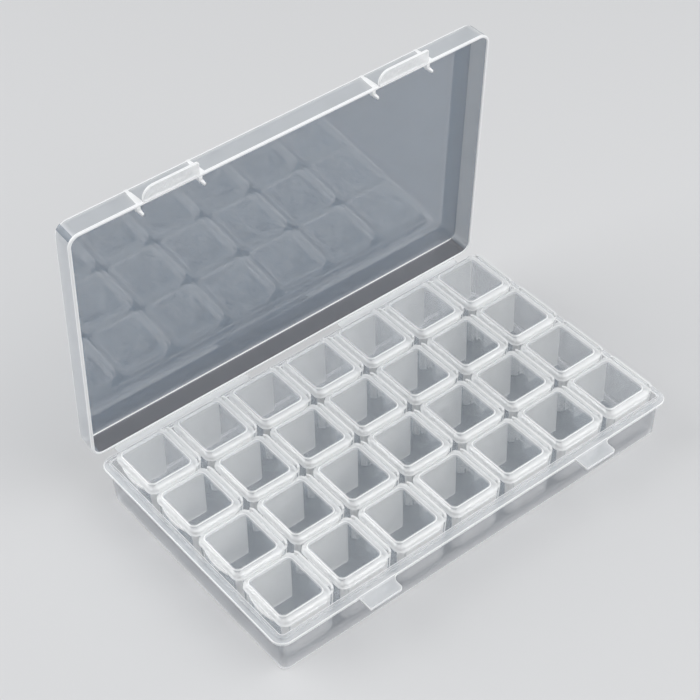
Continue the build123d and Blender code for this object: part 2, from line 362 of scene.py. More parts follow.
def inset_outline(points: Sequence[Point], inset: float) -> list[Point]:
    """Move an anticlockwise outline's sides inwards by the same amount.

    Args:
        points: The outline's points.
        inset: How far to move the sides.

    Returns:
        The moved points.
    """
    count = len(points)
    moved: list[Point] = []
    for i, (x, y) in enumerate(points):
        before, after = Vector(points[i - 1]), Vector(points[(i + 1) % count])
        here = Vector((x, y))
        along_in, along_out = (here - before).normalized(), (after - here).normalized()
        left_in = Vector((-along_in.y, along_in.x))
        left_out = Vector((-along_out.y, along_out.x))
        middle = left_in + left_out
        middle = middle / max(middle.length_squared / 2.0, LEAST_BEND)
        moved.append((x + middle.x * inset, y + middle.y * inset))
    return moved


def along_x(p: Vector) -> Vector:
    """The point of a section in Y and Z, given with its place along X as third value."""
    return Vector((p.z, p.x, p.y))


def along_y(p: Vector) -> Vector:
    """The point of a section in X and Z, given with its place along Y as third value."""
    return Vector((p.x, p.z, p.y))


class Moulding:
    """Gathers closed shells of one moulding and writes them as an object."""

    def __init__(self, *plastics: Plastic) -> None:
        """Start an empty mesh, with the finishes that it may show."""
        self.plastics = plastics
        self.mesh = bmesh.new()

    def paint(self, face: bmesh.types.BMFace, plastic: Plastic) -> None:
        """Give a face one of the finishes."""
        face.material_index = self.plastics.index(plastic)

    def shows(self, face: bmesh.types.BMFace, plastic: Plastic) -> bool:
        """Whether a face has that finish."""
        return face.material_index == self.plastics.index(plastic)

    def skin(self, rings: Sequence[Sequence[Vector]], finishes: Sequence[Plastic]) -> None:
        """Join rings of equal length with bands, and close both ends.

        Args:
            rings: The rings, in order along the skin.
            finishes: The finish of each ring's band to the ring before it. The first and last are
                those of the end faces.
        """
        made = [[self.mesh.verts.new(p) for p in ring] for ring in rings]
        faces = []
        for low, high, finish in zip(made, made[1:], finishes[1:]):
            for j in range(len(low)):
                k = (j + 1) % len(low)
                face = self.mesh.faces.new((low[j], low[k], high[k], high[j]))
                self.paint(face, finish)
                faces.append(face)
        for ring, finish in ((list(reversed(made[0])), finishes[0]), (made[-1], finishes[-1])):
            face = self.mesh.faces.new(ring)
            self.paint(face, finish)
            faces.append(face)
        bmesh.ops.recalc_face_normals(self.mesh, faces=faces)

    def loft(
        self, levels: Sequence[Level], at: Point = (0.0, 0.0), place: Place | None = None
    ) -> None:
        """Add a shell whose section turns at each level, all the way round.

        Args:
            levels: The section's turns, from the middle of one end face to the middle of the other.
            at: Where the outline's middle stands.
            place: Moves each point of the shell, in millimetres.
        """
        section: list[tuple[Vector, Plastic]] = []
        for i, level in enumerate(levels):
            here = level.values()
            if level.rounding <= 0.0 or i in (0, len(levels) - 1):
                section.append((here, level.finish))
                continue
            before, after = levels[i - 1], levels[i + 1]
            start = here.lerp(before.values(), level.cut_share(before))
            end = here.lerp(after.values(), level.cut_share(after))
            edge = level.edge or level.finish
            for step in range(TURN_STEPS + 1):
                t = step / TURN_STEPS
                point = start * (1 - t) ** 2 + here * (2 * t * (1 - t)) + end * t**2
                section.append((point, level.finish if step == 0 else edge))
        rings = []
        for (*sizes, height), _ in section:
            ring = [Vector((at[0] + x, at[1] + y, height)) for x, y in Outline(*sizes).points()]
            rings.append([place(p) for p in ring] if place else ring)
        self.skin(rings, [finish for _, finish in section])

    def slab(
        self,
        outline: Sequence[Point],
        low: float,
        high: float,
        rounding: float,
        finish: Plastic,
        edge: Plastic,
        place: Place | None = None,
    ) -> None:
        """Add a flat piece with rounded edges.

        Args:
            outline: Its anticlockwise outline.
            low: Level of its lower face.
            high: Level of its upper face.
            rounding: Radius of its edges.
            finish: The finish on its faces.
            edge: The finish on its edges.
            place: Where a point of the outline's plane, with its level as third value, goes.
        """
        turns = [math.radians(90.0 * step / TURN_STEPS) for step in range(TURN_STEPS + 1)]
        section = [
            (rounding * (1 - math.sin(turn)), low + rounding * (1 - math.cos(turn)))
            for turn in turns
        ]
        section += [
            (rounding * (1 - math.cos(turn)), high - rounding * (1 - math.sin(turn)))
            for turn in turns
        ]
        rings = []
        for inset, level in section:
            ring = [Vector((x, y, level)) for x, y in inset_outline(outline, inset)]
            rings.append([place(p) for p in ring] if place else ring)
        self.skin(rings, [finish, *[edge] * (len(rings) - 2), finish])

    def write(self, name: str, at: Point = (0.0, 0.0)) -> bpy.types.Object:
        """Finish the mesh and put it in the scene.

        Args:
            name: The object's name.
            at: Where the object stands, in millimetres.

        Returns:
            The object.
        """
        bmesh.ops.scale(self.mesh, vec=(MM, MM, MM), verts=self.mesh.verts)
        for face in self.mesh.faces:
            face.smooth = True
        data = bpy.data.meshes.new(name)
        self.mesh.to_mesh(data)
        self.mesh.free()
        for plastic in self.plastics:
            data.materials.append(plastic.value.material())
        return put(name, data, at)


def put(name: str, data: bpy.types.Mesh, at: Point = (0.0, 0.0)) -> bpy.types.Object:
    """Stand a mesh in the scene, its flats kept flat beside their rounded edges.

    Args:
        name: The object's name.
        data: The mesh, which several objects may share.
        at: Where it stands, in millimetres.

    Returns:
        The object.
    """
    piece = bpy.data.objects.new(name, data)
    piece.location = (at[0] * MM, at[1] * MM, 0.0)
    bpy.context.scene.collection.objects.link(piece)
    flats = piece.modifiers.new("flats", "WEIGHTED_NORMAL")
    flats.weight = FLATS_WEIGHT
    flats.keep_sharp = True
    return piece


def joint_place(name: str) -> Vector:
    """Where the frame's joint of that name lies, in millimetres."""
    return Vector(next(j for j in frame["joints"] if j["name"] == name)["pos_m"]) / MM


@dataclass(frozen=True)
class BoxSizes:
    """Sizes that the tray, the lid and the cells share, in millimetres."""

    width: float = 175.0
    depth: float = 105.0
    corner: float = 4.5
    flange_height: float = 17.3
    rim_height: float = 17.4  # level of the closed lid's rim
    opening: float = 86.0  # angle of the open lid, in degrees
    cells_width: float = 168.6  # room that the cells take inside the tray
    cells_depth: float = 98.6
    strips: int = 7
    rows: int = 4

    @property
    def strip_pitch(self) -> float:
        """From one strip to the next."""
        return self.cells_width / self.strips

    @property
    def cell_pitch(self) -> float:
        """From one cell of a strip to the next."""
        return self.cells_depth / self.rows

    @property
    def latch_place(self) -> float:
        """From the middle to each latch, along X."""
        return 2 * self.strip_pitch

    def outline(self) -> Outline:
        """The outline that the flange and the lid have."""
        return Outline(self.width / 2, self.depth / 2, self.corner)

    def strip_x(self, number: int) -> float:
        """The X of a strip's middle, counted from 1 at the left."""
        return (number - (self.strips + 1) / 2) * self.strip_pitch

    def row_y(self, row: int) -> float:
        """The Y of a cell's middle, counted from 1 at the front."""
        return (row - (self.rows + 1) / 2) * self.cell_pitch


@dataclass
class Tray:
    """The tray: its walls, flange, ridge and two thumb tongues, in millimetres."""

    box: BoxSizes
    overhang: float = 2.2  # of the flange past the walls
    flange: float = 1.0
    ridge: float = 1.1  # height above the flange
    wall: float = 1.0
    floor: float = 1.1
    lean: float = 0.5  # of the walls, inwards at the foot
    bend: float = 0.35  # rounding of the flange and the ridge
    under_round: float = 0.3  # rounding of the flange's lower edge
    foot_round: float = 0.9
    floor_round: float = 1.2
    under_border: float = 4.5  # from the walls to the floor's painted shade, below
    floor_border: float = 3.5  # and inside
    border_fade: float = 0.5
    tongue_width: float = 14.0
    tongue_reach: float = 6.0
    tongue_inside: float = 1.2  # how far its root lies in the flange
    tongue_sharp: float = 0.3  # radius of its left corner
    tongue_corner: float = 1.6  # radius of its right corner
    tongue_root: float = 2.4  # radius where it leaves the flange
    tongue_edge: float = 0.3

    def levels(self) -> list[Level]:
        """Lay out the section.

        Returns:
            Its turns, from the middle of the underside to the middle of the inner floor.
        """
        outer = self.box.outline()
        wall = outer.inset(self.overhang)
        inner = wall.inset(self.wall)
        top = self.box.flange_height
        under, crest = top - self.flange, top + self.ridge
        clear, edge, flange = Plastic.TRAY, Plastic.TRAY_EDGE_HIGHLIGHT, Plastic.FLANGE
        floor_inset = self.floor_border + self.border_fade
        # The rounded edges take the painted highlight finish, and the middle of the floor, above
        # and below, the painted shade
        return [
            Level(wall.shrink(self.under_border), 0.0, Plastic.TRAY_FLOOR_SHADE),
            Level(wall.shrink(self.lean), 0.0, clear, self.foot_round, edge),
            Level(wall, under, clear, self.bend),
            Level(outer, under, flange, self.under_round, edge),
            Level(outer, top, flange, self.bend, edge),
            Level(wall, top, flange, self.bend),
            Level(wall, crest, flange, self.bend),
            Level(inner, crest, flange, self.bend, edge),
            Level(inner.shrink(self.lean), self.floor, clear, self.floor_round),
            Level(inner.shrink(self.floor_border), self.floor, clear),
            Level(inner.shrink(floor_inset), self.floor, Plastic.TRAY_FLOOR_SHADE),
        ]

    def tongue(self, middle: float) -> list[Point]:
        """Draw one tongue: nearly square at its left, rounded at its right, with a curved root.

        Args:
            middle: Its X.

        Returns:
            Its outline.
        """
        left, right = middle - self.tongue_width / 2, middle + self.tongue_width / 2
        front = -self.box.depth / 2
        tip, inside = front - self.tongue_reach, front + self.tongue_inside
        sharp, corner, root = self.tongue_sharp, self.tongue_corner, self.tongue_root
        return [
            *arc((left + sharp, tip + sharp), sharp, 180, 270, SMALL_STEPS),
            *arc((right - corner, tip + corner), corner, 270, 360, CORNER_STEPS),
            *arc((right + root, front - root), root, 180, 90, CORNER_STEPS),
            (right + root, inside),
            (left, inside),
        ]

    def build(self) -> bpy.types.Object:
        """Build the tray as one moulding.

        Returns:
            The object that stands for the tray's node.
        """
        edge, flange = Plastic.TRAY_EDGE_HIGHLIGHT, Plastic.FLANGE
        shell = Moulding(Plastic.TRAY, Plastic.TRAY_FLOOR_SHADE, edge, flange)
        shell.loft(self.levels())
        back = self.box.depth / 2 - self.overhang
        for face in shell.mesh.faces:
            if shell.shows(face, flange) and face.calc_center_median().y > back:
                shell.paint(face, Plastic.TRAY)
        low, high = self.box.flange_height - self.flange + APART, self.box.flange_height - APART
        for side in (-1, 1):
            outline = self.tongue(side * self.box.latch_place)
            shell.slab(outline, low, high, self.tongue_edge, flange, edge)
        piece = shell.write("tray_shell")
        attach(piece, "tray")
        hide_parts("tray")
        return piece


@dataclass
class Lid:
    """The lid, with its finger ledges and latch ribs, in millimetres and drawn closed."""

    box: BoxSizes
    depth: float = 9.3
    wall: float = 1.0
    plate: float = 1.0
    lean: float = 0.3  # of the walls, inwards at the plate
    outer_round: float = 1.2
    inner_round: float = 0.35
    rim_round: float = 0.4
    bright: float = 0.9  # height of the band round the rim that takes the painted highlight finish
    plate_border: float = 8.0  # from the walls to the ring round each face's middle
    inside_share: float = 0.7  # share of the wall's thickness where its inside starts
    ledge_width: float = 22.0
    ledge_reach: float = 5.4
    ledge_thickness: float = 1.0
    ledge_inside: float = 0.5  # how far its root lies in the wall
    ledge_round: float = 4.4  # radius of its left corner
    ledge_corner: float = 1.0  # radius of its right corner
    ledge_edge: float = 0.3
    rib_width: float = 1.5
    rib_foot: float = 18.7  # level of its lower edge
    rib_reach: float = 1.2  # past the wall's inside, at the plate
    rib_proud: float = 0.03  # in front of the wall
    rib_edge: float = 0.2
    nose_face: float = 49.05  # from the box's middle to the nose's front
    nose_thickness: float = 0.9
    nose_drop: float = 1.0  # below the rim
    nose_rise: float = 1.0  # of its back, above the rib's lower edge
    nose_taper: float = 0.45  # share of its width that it loses at its tip
    taper_start: float = 0.5  # above the rim
    root_width: float = 2.4  # of a rib's root on the front wall, at the rim
    root_height: float = 6.0
    root_proud: float = 0.04
    root_depth: float = 0.5
    root_edge: float = 0.03

    def levels(self) -> list[Level]:
        """Lay out the section.

        Returns:
            Its turns, from the middle of the inner face to the middle of the outer one.
        """
        outer = self.box.outline()
        inner = outer.inset(self.wall)
        rim = self.box.rim_height
        under, top = rim + self.depth - self.plate, rim + self.depth
        panel, edge, wall = Plastic.PANEL, Plastic.PANEL_EDGE_HIGHLIGHT, Plastic.PANEL_WALL
        # The rounded edges and the band round the rim take the painted highlight finish
        return [
            Level(outer.shrink(self.wall + self.plate_border), under, panel),
            Level(inner.shrink(self.lean), under, panel, self.inner_round, edge),
            Level(inner, rim, wall, self.rim_round, edge),
            Level(outer, rim, edge, self.rim_round),
            Level(outer, rim + self.bright, edge),
            Level(outer.shrink(self.lean), top, wall, self.outer_round, edge),
            Level(outer.shrink(self.plate_border), top, Plastic.PANEL_BACK),
        ]

    def darken_inside(self, shell: Moulding) -> None:
        """Give the walls' inside the outer face's finish, and on the hinge side a dark finish that
        is painted shade.

        Args:
            shell: The lid's shell, still closed.
        """
        inset = self.inside_share * self.wall
        half_x, half_y = self.box.width / 2 - inset, self.box.depth / 2 - inset
        crease = self.box.rim_height + self.depth / 2
        for face in shell.mesh.faces:
            middle = face.calc_center_median()
            if abs(middle.x) > half_x or abs(middle.y) > half_y:
                continue
            hinge_side = middle.y > half_y - self.wall
            if shell.shows(face, Plastic.PANEL_WALL):
                # Painted shade on the hinge side's inside
                shell.paint(face, Plastic.HINGE_SHADE if hinge_side else Plastic.PANEL_BACK)
            elif shell.shows(face, Plastic.PANEL_EDGE_HIGHLIGHT) and middle.z > crease and not hinge_side:
                shell.paint(face, Plastic.PANEL)

    def ledge(self, middle: float) -> list[Point]:
        """Draw one half-moon ledge: a large curve at its left and a small one at its right.

        Args:
            middle: Its X.

        Returns:
            Its outline.
        """
        left, right = middle - self.ledge_width / 2, middle + self.ledge_width / 2
        root = -self.box.depth / 2 + self.ledge_inside
        tip = -self.box.depth / 2 - self.ledge_reach
        large, small = self.ledge_round, self.ledge_corner
        return [
            *arc((left + large, tip + large), large, 180, 270, 2 * CORNER_STEPS),
            *arc((right - small, tip + small), small, 270, 360, CORNER_STEPS),
            (right, root),
            (left, root),
        ]

    def rib(self) -> list[Point]:
        """Draw a rib's profile.

        Returns:
            Its outline, as Y and Z of the closed lid.
        """
        front = -self.box.depth / 2
        root = front - self.rib_proud
        head = self.box.rim_height + self.depth - self.plate / 2
        face, back = -self.nose_face, -self.nose_face + self.nose_thickness
        tip = self.box.rim_height - self.nose_drop
        return [
            (root, self.rib_foot),
            (face, self.rib_foot),
            (face, tip),
            (back, tip),
            (back, self.rib_foot + self.nose_rise),
            (front + self.wall + self.rib_reach, head),
            (root + self.lean, head),
        ]

    def rib_place(self, middle: float) -> Place:
        """Stand a rib up, its nose narrower towards the tip.

        Args:
            middle: Its X.

        Returns:
            What places a point of the profile, given with its X as third value.
        """
        start = self.box.rim_height + self.taper_start
        drop = self.nose_drop + self.taper_start

        def place(p: Vector) -> Vector:
            """Place one point."""
            low = max(start - p.y, 0.0) / drop
            return Vector((middle + (p.z - middle) * (1 - self.nose_taper * low), p.x, p.y))

        return place

    def root(self, middle: float) -> list[Point]:
        """Draw a rib's root on the front wall: wide at the rim, then narrow.

        Args:
            middle: Its X.

        Returns:
            Its outline, as X and Z of the closed lid.
        """
        low = self.box.rim_height + self.bright
        high = low + self.root_height
        wide, narrow = self.root_width / 2, self.root_width / 3
        return [
            (middle - wide, low),
            (middle + wide, low),
            (middle + narrow, high),
            (middle - narrow, high),
        ]

    def on_front(self, p: Vector) -> Vector:
        """A point of the front wall from its X, its Z and its depth below the wall's face."""
        lean = self.lean * (p.y - self.box.rim_height) / self.depth
        return Vector((p.x, -self.box.depth / 2 + lean + p.z, p.y))

    def latch(self, shell: Moulding, place: float) -> None:
        """Add a finger ledge with a rib at each side.

        Args:
            shell: The lid's shell, still closed.
            place: The ledge's X.
        """
        low, high = self.box.rim_height + APART, self.box.rim_height + self.ledge_thickness
        edge, half = Plastic.PANEL_EDGE_HIGHLIGHT, self.rib_width / 2
        # The edges of the ledge, and the ribs and their roots, take the painted highlight finish
        shell.slab(self.ledge(place), low, high, self.ledge_edge, Plastic.LEDGE, edge)
        for side in (-1, 1):
            middle = place + side * self.box.strip_pitch / 2
            stand, root = self.rib_place(middle), self.root(middle)
            shell.slab(self.rib(), middle - half, middle + half, self.rib_edge, edge, edge, stand)
            shell.slab(
                root, -self.root_proud, self.root_depth, self.root_edge, edge, edge, self.on_front
            )

    def build(self) -> bpy.types.Object:
        """Build the lid closed and swing it open.

        Returns:
            The object that stands for the lid's node.
        """
        shell = Moulding(
            Plastic.PANEL,
            Plastic.PANEL_EDGE_HIGHLIGHT,
            Plastic.LEDGE,
            Plastic.PANEL_WALL,
            Plastic.HINGE_SHADE,
            Plastic.PANEL_BACK,
        )
        shell.loft(self.levels())
        self.darken_inside(shell)
        for side in (-1, 1):
            self.latch(shell, side * self.box.latch_place)
        hinge = joint_place("lid_hinge")
        turn = Matrix.Rotation(math.radians(-self.box.opening), 4, "X")
        shell.mesh.transform(Matrix.Translation(hinge) @ turn @ Matrix.Translation(-hinge))
        piece = shell.write("lid_shell")
        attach(piece, "lid")
        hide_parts("lid")
        return piece


@dataclass
class Strip:
    """A strip of four cups, with webs between them and a hinge wall on each, in millimetres."""

    box: BoxSizes
    base: float = 1.2  # level of the underside
    rim: float = 21.3  # level of the cups' rim
    top: float = 22.5  # level of the hinge walls' top
    left: float = -10.043  # X of a cup's sides, from the strip's middle
    right: float = 11.543
    length: float = 22.05  # of a cup, along Y
    lean: float = 0.9  # of the walls, inwards at the foot
    wall: float = 0.8
    floor: float = 0.9
    corner: float = 2.6
    foot: float = 1.5  # rounding of the foot
    rim_round: float = 0.25
    under_border: float = 5.0  # from the walls to the ring round the middle, below
    floor_border: float = 6.0  # and inside
    hinge_turn: float = 50.0  # how far a hinge wall follows the corners, in degrees
    hinge_inside: float = 0.4  # how far its root lies in the cup
    hinge_edge: float = 0.15
    web: float = 0.8
    web_spread: float = 14.0  # from one web to the other
    web_foot: float = 4.0  # levels of a web's ends
    web_top: float = 18.8
    web_edge: float = 0.12
    level: float = 0.8  # a face with a steeper normal is a floor or a rim
    square: float = 0.05  # one whose normal has less X faces the front or the back
    turned: float = 0.15  # one whose normal has more X and Y is at a corner
    mesh: bpy.types.Mesh | None = field(default=None, init=False)

    def cup_levels(self) -> list[Level]:
        """Lay out a cup's section.

        Returns:
            Its turns, from the middle of the underside to the middle of the floor.
        """
        outer = Outline((self.right - self.left) / 2, self.length / 2, self.corner)
        inner = outer.inset(self.wall)
        floor = self.base + self.floor
        cup, edge = Plastic.CUP, Plastic.CUP_EDGE_HIGHLIGHT
        # The rim's rounding takes the painted highlight finish
        return [
            Level(outer.shrink(self.under_border), self.base, cup),
            Level(outer.shrink(self.lean), self.base, cup, self.foot),
            Level(outer, self.rim, cup, self.rim_round, edge),
            Level(inner, self.rim, edge, self.rim_round),
            Level(inner.shrink(self.lean), floor, cup, self.foot),
            Level(outer.shrink(self.floor_border), floor, cup),
        ]

    def wall_middle(self, height: float) -> float:
        """How far a cup's front or back wall stands from its middle at a height."""
        lean = self.lean * (self.rim - height) / (self.rim - self.base)
        return self.length / 2 - lean - self.wall / 2

    def frost_walls_with_painted_light(self, shell: Moulding) -> None:
        """Frost the cups' front and back walls, whiter than the clear sides as partly painted
        light, and give the front corner by the hinge a painted highlight.

        Args:
            shell: The strip's cups.
        """
        for face in shell.mesh.faces:
            way = face.normal
            if not shell.shows(face, Plastic.CUP) or abs(way.z) > self.level:
                continue
            middle = face.calc_center_median()
            row = round(middle.y / self.box.cell_pitch + (self.box.rows + 1) / 2)
            front = middle.y < self.box.row_y(row)
            # Front and back walls: frosted, and partly painted light
            if abs(way.x) < self.square:
                shell.paint(face, Plastic.CUP_FRONT_LIT if front else Plastic.CUP_BACK_LIT)
            elif front and min(abs(way.x), abs(way.y)) > self.turned:
                # Front corners: the one by the hinge takes the bright edge finish as a painted
                # highlight line, the other the front wall's finish
                shell.paint(face, Plastic.CUP_EDGE_HIGHLIGHT if middle.x > 0 else Plastic.CUP_FRONT_LIT)

    def hinge_wall(self, shell: Moulding, y: float) -> None:
        """Stand a hinge wall on the right side of a cup, round into its corners.

        Args:
            shell: The strip's shell.
            y: The cup's Y.
        """
        x, reach = self.right - self.corner, self.length / 2 - self.corner
        turn, inner = self.hinge_turn, self.corner - self.wall
        outline = [
            *arc((x, y - reach), self.corner, -turn, 0, CORNER_STEPS),
            *arc((x, y + reach), self.corner, 0, turn, CORNER_STEPS),
            *arc((x, y + reach), inner, turn, 0, CORNER_STEPS),
            *arc((x, y - reach), inner, 0, -turn, CORNER_STEPS),
        ]
        low, edge = self.rim - self.hinge_inside, Plastic.CUP_EDGE_HIGHLIGHT
        # The hinge wall takes the bright edge finish all over, partly painted highlight
        shell.slab(outline, low, self.top, self.hinge_edge, edge, edge)

    def web_between(self, shell: Moulding, x: float, before: float, after: float) -> None:
        """Join two cups with an upright web.

        Args:
            shell: The strip's shell.
            x: The web's X.
            before: The front cup's Y.
            after: The back cup's Y.
        """
        low, high = self.wall_middle(self.web_foot), self.wall_middle(self.web_top)
        profile = [
            (before + low, self.web_foot),
            (after - low, self.web_foot),
            (after - high, self.web_top),
            (before + high, self.web_top),
        ]
        left, right = x - self.web / 2, x + self.web / 2
        # The web's edges take the painted highlight finish
        shell.slab(profile, left, right, self.web_edge, Plastic.CUP, Plastic.CUP_EDGE_HIGHLIGHT, along_x)

    def mould(self) -> Moulding:
        """Shape a strip about its own middle.

        Returns:
            Its shell.
        """
        shell = Moulding(Plastic.CUP, Plastic.CUP_EDGE_HIGHLIGHT, Plastic.CUP_FRONT_LIT, Plastic.CUP_BACK_LIT)
        middle = (self.left + self.right) / 2
        rows = [self.box.row_y(row) for row in range(1, self.box.rows + 1)]
        for y in rows:
            shell.loft(self.cup_levels(), (middle, y))
        self.frost_walls_with_painted_light(shell)
        for y in rows:
            self.hinge_wall(shell, y)
        for before, after in zip(rows, rows[1:]):
            for side in (-1, 1):
                self.web_between(shell, middle + side * self.web_spread / 2, before, after)
        return shell

    def build(self, number: int) -> bpy.types.Object:
        """Build a strip, which shares its mesh with the others.

        Args:
            number: Which strip, from 1 at the left.

        Returns:
            The strip's object.
        """
        at = (self.box.strip_x(number), 0.0)
        name = f"strip_{number}"
        if self.mesh is None:
            piece = self.mould().write(f"{name}_cups", at)
            self.mesh = piece.data
        else:
            piece = put(f"{name}_cups", self.mesh, at)
        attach(piece, name)
        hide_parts(name)
        return piece


@dataclass
class CellLid:
    """A cell's lid: plate, skirt, raised window and finger lip, in millimetres."""

    box: BoxSizes
    left: float = -10.993  # X of its sides, from the strip's middle
    right: float = 9.943
    length: float = 23.95  # along Y
    top: float = 22.5  # level of its border
    plate: float = 1.0
    corner: float = 3.2
    slope: float = 1.4  # how far the border slants down to the sides
    edge: float = 0.9  # rounding of the border
    skirt: float = 0.8
    skirt_height: float = 2.9
    inner_round: float = 0.4
    foot_round: float = 0.25
    window_rise: float = 0.36
    window_bevel: float = 0.32
    window_side: float = 1.2  # the border's width at the left
    window_end: float = 2.0  # at the front and the back
    window_hinge: float = 1.8  # and at the hinge
    window_corner: float = 2.2
    window_foot: float = 0.1  # roundings of the bevel's foot and top
    window_round: float = 0.25
    clear_inset: float = 1.5  # from the bevel to the window's finish
    clear_corner: float = 1.0
    under_inset: float = 0.5  # the same below
    under_corner: float = 1.2
    level: float = 0.95  # a face with a less steep normal is part of the bevel
    lip_tip: float = -11.843
    lip_length: float = 13.0
    lip_drop: float = 0.7  # below the skirt
    lip_thickness: float = 1.3
    lip_inside: float = 0.5  # how far its root lies in the skirt
    lip_edge: float = 0.25
    lip_steps: int = 14
    hinge_reach: float = 0.6  # share of the corner where the hinge side gets thin
    hinge_skirt: float = 0.12  # share of the skirt that is left there
    hinge_share: float = 0.4  # and of the thickness
    mesh: bpy.types.Mesh | None = field(default=None, init=False)

    def levels(self) -> list[Level]:
        """Lay out the section.

        Returns:
            Its turns, from the middle of the underside to the middle of the window.
        """
        half_x, half_y = (self.right - self.left) / 2, self.length / 2
        middle = (self.left + self.right) / 2
        outer = Outline(half_x, half_y, self.corner, middle)
        inner = outer.inset(self.skirt)
        opening = Outline(
            half_x - (self.window_side + self.window_hinge) / 2,
            half_y - self.window_end,
            self.window_corner,
            middle + (self.window_side - self.window_hinge) / 2,
        )
        under_window = opening.shrink(self.under_inset, self.under_corner)
        clear_window = opening.shrink(self.clear_inset, self.clear_corner)
        foot, under = self.top - self.skirt_height, self.top - self.plate
        raised = self.top + self.window_rise
        border, edge, window = Plastic.BORDER, Plastic.BORDER_EDGE_HIGHLIGHT, Plastic.WINDOW
        # The skirt's foot takes the painted highlight finish
        return [
            Level(under_window, under, window),
            Level(inner, under, border, self.inner_round),
            Level(inner, foot, border, self.foot_round, edge),
            Level(outer, foot, edge, self.foot_round),
            Level(outer, self.top - self.slope, border, self.edge),
            Level(opening, self.top, border, self.window_foot),
            Level(opening.shrink(self.window_bevel), raised, border, self.window_round),
            Level(clear_window, raised, window),
        ]

    def thin_hinge_side(self, point: Vector) -> Vector:
        """Thin the lid down to its film at the hinge side, where it has no skirt.

        Args:
            point: A point of the lid.

        Returns:
            Where it goes.
        """
        under = self.top - self.plate
        near = (point.x - (self.right - self.corner)) / (self.corner * self.hinge_reach)
        near = min(max(near, 0.0), 1.0)
        near = near * near * (3 - 2 * near)
        depth = self.top - max(point.z, under)
        if point.z < under:
            depth += (under - point.z) * (1.0 - (1.0 - self.hinge_skirt) * near)
        if depth > 0.0:
            depth *= 1.0 - (1.0 - self.hinge_share) * near
        return Vector((point.x, point.y, self.top - depth))

    def lip(self, shell: Moulding) -> None:
        """Add the finger lip that bulges from the foot of the left skirt.

        Args:
            shell: The lid's shell.
        """
        half = self.lip_length / 2
        bulge = self.left - self.lip_tip
        radius = (half * half + bulge * bulge) / (2 * bulge)
        turn = math.degrees(math.asin(half / radius))
        centre, root = (self.lip_tip + radius, 0.0), self.left + self.lip_inside
        outline = arc(centre, radius, 180 - turn, 180 + turn, self.lip_steps)
        outline += [(root, -half), (root, half)]
        low = self.top - self.skirt_height - self.lip_drop
        high = low + self.lip_thickness
        # The lip's edges take the painted highlight finish
        shell.slab(outline, low, high, self.lip_edge, Plastic.BORDER, Plastic.BORDER_EDGE_HIGHLIGHT)

    def mould(self) -> Moulding:
        """Shape a cell's lid about its cell's middle.

        Returns:
            Its shell.
        """
        shell = Moulding(Plastic.BORDER, Plastic.BORDER_EDGE_HIGHLIGHT, Plastic.WINDOW)
        shell.loft(self.levels(), place=self.thin_hinge_side)
        # The raised window's bevel takes the bright edge finish all round: a painted highlight line
        for face in shell.mesh.faces:
            if face.calc_center_median().z > self.top + APART and abs(face.normal.z) < self.level:
                shell.paint(face, Plastic.BORDER_EDGE_HIGHLIGHT)
        self.lip(shell)
        return shell

    def build(self, strip: int, row: int) -> bpy.types.Object:
        """Build a cell's lid, which shares its mesh with the others.

        Args:
            strip: Which strip, from 1 at the left.
            row: Which cell of the strip, from 1 at the front.

        Returns:
            The lid's object.
        """
        at = (self.box.strip_x(strip), self.box.row_y(row))
        name = f"cell_lid_{strip}_{row}"
        if self.mesh is None:
            piece = self.mould().write(f"{name}_cover", at)
            self.mesh = piece.data
        else:
            piece = put(f"{name}_cover", self.mesh, at)
        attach(piece, name)
        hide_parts(name)
        return piece


